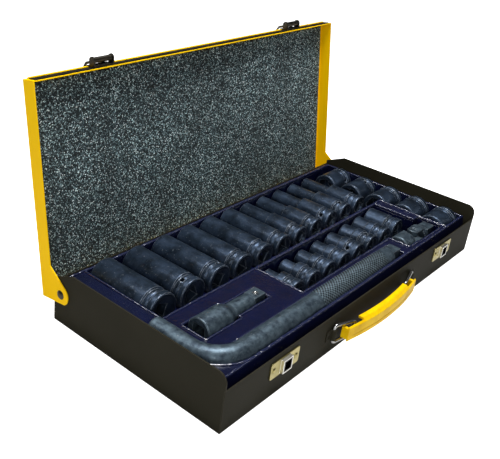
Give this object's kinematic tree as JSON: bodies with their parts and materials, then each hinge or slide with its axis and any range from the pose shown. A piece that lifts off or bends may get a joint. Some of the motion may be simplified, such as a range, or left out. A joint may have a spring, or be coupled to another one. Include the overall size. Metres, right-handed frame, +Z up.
{
  "type": "socket set in case",
  "caption": "Hinged sheet-steel case with a yellow lid, foam pad, hasps and folding handle, holding a tray of impact sockets, an extension, a bent drive bar and a universal joint.",
  "frame": {"origin": "middle of the underside of the pan", "axes": "+X along the width of the case, the front wall with the handle faces -Y, +Z up"},
  "size_m": [0.4566, 0.2748, 0.2282],
  "materials": {
    "dark_paint": "satin",
    "navy_plastic": "satin moulded",
    "yellow_paint": "gloss",
    "pad_foam": "open-cell foam",
    "black_strip": "matte",
    "yellow_plastic": "gloss moulded",
    "blackened_steel": "oiled phosphate",
    "bright_steel": "ground",
    "yellow_zinc": "yellow passivated zinc",
    "bright_zinc": "zinc plated"
  },
  "bodies": {
    "case": {"base_pan": "dark_paint", "left_end_plate": "dark_paint", "right_end_plate": "dark_paint", "hinge_rivets": "bright_zinc", "tool_tray": "navy_plastic", "tray_socket_well": "navy_plastic", "tray_short_well": "navy_plastic", "tray_extension_pocket": "navy_plastic", "tray_joint_pocket": "navy_plastic", "tray_bar_groove": "navy_plastic", "tray_walls": "navy_plastic", "left_latch_keeper": "yellow_zinc", "right_latch_keeper": "yellow_zinc", "latch_keeper_rivets": "yellow_zinc", "left_handle_clip": "bright_zinc", "right_handle_clip": "bright_zinc", "handle_clip_rivets": "bright_zinc"},
    "lid": {"lid_shell": "yellow_paint", "lid_foam": "pad_foam", "lid_front_strip": "black_strip", "left_hasp_bracket": "yellow_zinc", "right_hasp_bracket": "yellow_zinc", "hasp_bracket_rivets": "yellow_zinc", "hasp_pins": "yellow_zinc"},
    "left_hasp": {"left_hasp": "yellow_zinc"},
    "right_hasp": {"right_hasp": "yellow_zinc"},
    "left_handle_loop": {"left_handle_loop": "bright_zinc"},
    "right_handle_loop": {"right_handle_loop": "bright_zinc"},
    "handle_grip": {"handle_grip": "yellow_plastic"},
    "deep_socket_01": {"deep_socket_01": "blackened_steel"},
    "deep_socket_02": {"deep_socket_02": "blackened_steel"},
    "deep_socket_03": {"deep_socket_03": "blackened_steel"},
    "deep_socket_04": {"deep_socket_04": "blackened_steel"},
    "deep_socket_05": {"deep_socket_05": "blackened_steel"},
    "deep_socket_06": {"deep_socket_06": "blackened_steel"},
    "deep_socket_07": {"deep_socket_07": "blackened_steel"},
    "deep_socket_08": {"deep_socket_08": "blackened_steel"},
    "deep_socket_09": {"deep_socket_09": "blackened_steel"},
    "deep_socket_10": {"deep_socket_10": "blackened_steel"},
    "deep_socket_11": {"deep_socket_11": "blackened_steel"},
    "large_socket_1": {"large_socket_1": "blackened_steel"},
    "large_socket_2": {"large_socket_2": "blackened_steel"},
    "large_socket_3": {"large_socket_3": "blackened_steel"},
    "large_socket_4": {"large_socket_4": "blackened_steel"},
    "large_socket_5": {"large_socket_5": "blackened_steel"},
    "short_socket_1": {"short_socket_1": "blackened_steel"},
    "short_socket_2": {"short_socket_2": "blackened_steel"},
    "short_socket_3": {"short_socket_3": "blackened_steel"},
    "short_socket_4": {"short_socket_4": "blackened_steel"},
    "short_socket_5": {"short_socket_5": "blackened_steel"},
    "short_socket_6": {"short_socket_6": "blackened_steel"},
    "short_socket_7": {"short_socket_7": "blackened_steel"},
    "short_socket_8": {"short_socket_8": "blackened_steel"},
    "bent_drive_bar": {"bent_drive_bar": "blackened_steel"},
    "extension_bar": {"extension_bar": "blackened_steel", "extension_ball_spring": "bright_steel"},
    "extension_ball": {"extension_ball": "bright_steel"},
    "joint_socket_yoke": {"joint_socket_yoke": "blackened_steel"},
    "joint_cross": {"joint_cross": "blackened_steel"},
    "joint_drive_yoke": {"joint_drive_yoke": "blackened_steel"}
  },
  "joints": [
    {"name": "lid_hinge", "type": "hinge", "parent": "case", "child": "lid", "pos_m": [0, 0.09, 0.031], "axis": [-1, 0, 0], "range_deg": [-98.4, 0]},
    {"name": "left_hasp_hinge", "type": "hinge", "parent": "lid", "child": "left_hasp", "pos_m": [-0.147, 0.13528, 0.22466], "axis": [-1, 0, 0], "range_deg": [-230, 0]},
    {"name": "right_hasp_hinge", "type": "hinge", "parent": "lid", "child": "right_hasp", "pos_m": [0.147, 0.13528, 0.22466], "axis": [-1, 0, 0], "range_deg": [-230, 0]},
    {"name": "left_handle_loop_hinge", "type": "hinge", "parent": "case", "child": "left_handle_loop", "pos_m": [-0.0735, -0.10195, 0.022], "axis": [0, 0, -1], "range_deg": [0, 35]},
    {"name": "right_handle_loop_hinge", "type": "hinge", "parent": "case", "child": "right_handle_loop", "pos_m": [0.0735, -0.10195, 0.022], "axis": [0, 0, 1], "range_deg": [0, 35]},
    {"name": "handle_grip_slide", "type": "slide", "parent": "case", "child": "handle_grip", "axis": [0, -1, 0], "range_m": [0, 0.0135]},
    {"name": "deep_socket_01_lift", "type": "slide", "parent": "case", "child": "deep_socket_01", "axis": [0, 0, 1], "range_m": [0, 0.075]},
    {"name": "deep_socket_02_lift", "type": "slide", "parent": "case", "child": "deep_socket_02", "axis": [0, 0, 1], "range_m": [0, 0.075]},
    {"name": "deep_socket_03_lift", "type": "slide", "parent": "case", "child": "deep_socket_03", "axis": [0, 0, 1], "range_m": [0, 0.075]},
    {"name": "deep_socket_04_lift", "type": "slide", "parent": "case", "child": "deep_socket_04", "axis": [0, 0, 1], "range_m": [0, 0.075]},
    {"name": "deep_socket_05_lift", "type": "slide", "parent": "case", "child": "deep_socket_05", "axis": [0, 0, 1], "range_m": [0, 0.075]},
    {"name": "deep_socket_06_lift", "type": "slide", "parent": "case", "child": "deep_socket_06", "axis": [0, 0, 1], "range_m": [0, 0.075]},
    {"name": "deep_socket_07_lift", "type": "slide", "parent": "case", "child": "deep_socket_07", "axis": [0, 0, 1], "range_m": [0, 0.075]},
    {"name": "deep_socket_08_lift", "type": "slide", "parent": "case", "child": "deep_socket_08", "axis": [0, 0, 1], "range_m": [0, 0.075]},
    {"name": "deep_socket_09_lift", "type": "slide", "parent": "case", "child": "deep_socket_09", "axis": [0, 0, 1], "range_m": [0, 0.075]},
    {"name": "deep_socket_10_lift", "type": "slide", "parent": "case", "child": "deep_socket_10", "axis": [0, 0, 1], "range_m": [0, 0.075]},
    {"name": "deep_socket_11_lift", "type": "slide", "parent": "case", "child": "deep_socket_11", "axis": [0, 0, 1], "range_m": [0, 0.075]},
    {"name": "large_socket_1_lift", "type": "slide", "parent": "case", "child": "large_socket_1", "axis": [0, 0, 1], "range_m": [0, 0.075]},
    {"name": "large_socket_2_lift", "type": "slide", "parent": "case", "child": "large_socket_2", "axis": [0, 0, 1], "range_m": [0, 0.075]},
    {"name": "large_socket_3_lift", "type": "slide", "parent": "case", "child": "large_socket_3", "axis": [0, 0, 1], "range_m": [0, 0.075]},
    {"name": "large_socket_4_lift", "type": "slide", "parent": "case", "child": "large_socket_4", "axis": [0, 0, 1], "range_m": [0, 0.075]},
    {"name": "large_socket_5_lift", "type": "slide", "parent": "case", "child": "large_socket_5", "axis": [0, 0, 1], "range_m": [0, 0.075]},
    {"name": "short_socket_1_lift", "type": "slide", "parent": "case", "child": "short_socket_1", "axis": [0, 0, 1], "range_m": [0, 0.075]},
    {"name": "short_socket_2_lift", "type": "slide", "parent": "case", "child": "short_socket_2", "axis": [0, 0, 1], "range_m": [0, 0.075]},
    {"name": "short_socket_3_lift", "type": "slide", "parent": "case", "child": "short_socket_3", "axis": [0, 0, 1], "range_m": [0, 0.075]},
    {"name": "short_socket_4_lift", "type": "slide", "parent": "case", "child": "short_socket_4", "axis": [0, 0, 1], "range_m": [0, 0.075]},
    {"name": "short_socket_5_lift", "type": "slide", "parent": "case", "child": "short_socket_5", "axis": [0, 0, 1], "range_m": [0, 0.075]},
    {"name": "short_socket_6_lift", "type": "slide", "parent": "case", "child": "short_socket_6", "axis": [0, 0, 1], "range_m": [0, 0.075]},
    {"name": "short_socket_7_lift", "type": "slide", "parent": "case", "child": "short_socket_7", "axis": [0, 0, 1], "range_m": [0, 0.075]},
    {"name": "short_socket_8_lift", "type": "slide", "parent": "case", "child": "short_socket_8", "axis": [0, 0, 1], "range_m": [0, 0.075]},
    {"name": "bent_drive_bar_lift", "type": "slide", "parent": "case", "child": "bent_drive_bar", "axis": [0, 0, 1], "range_m": [0, 0.075]},
    {"name": "extension_bar_lift", "type": "slide", "parent": "case", "child": "extension_bar", "axis": [0, 0, 1], "range_m": [0, 0.075]},
    {"name": "extension_ball_press", "type": "slide", "parent": "extension_bar", "child": "extension_ball", "axis": [0, 0, 1], "range_m": [-0.001, 0], "stiffness_N_per_m": 300},
    {"name": "universal_joint_lift", "type": "slide", "parent": "case", "child": "joint_socket_yoke", "axis": [0, 0, 1], "range_m": [0, 0.075]},
    {"name": "joint_cross_hinge", "type": "hinge", "parent": "joint_socket_yoke", "child": "joint_cross", "pos_m": [0.133, -0.07, 0.033], "axis": [0, -1, 0], "range_deg": [0, 35]},
    {"name": "joint_drive_hinge", "type": "hinge", "parent": "joint_cross", "child": "joint_drive_yoke", "pos_m": [0.133, -0.07, 0.033], "axis": [0, 0, 1], "range_deg": [-5, 5]}
  ],
  "couplings": [
    {"joint": "right_handle_loop_hinge", "follows": "left_handle_loop_hinge", "ratio": 1},
    {"joint": "handle_grip_slide", "follows": "left_handle_loop_hinge", "m_per_rad": 0.0218}
  ]
}
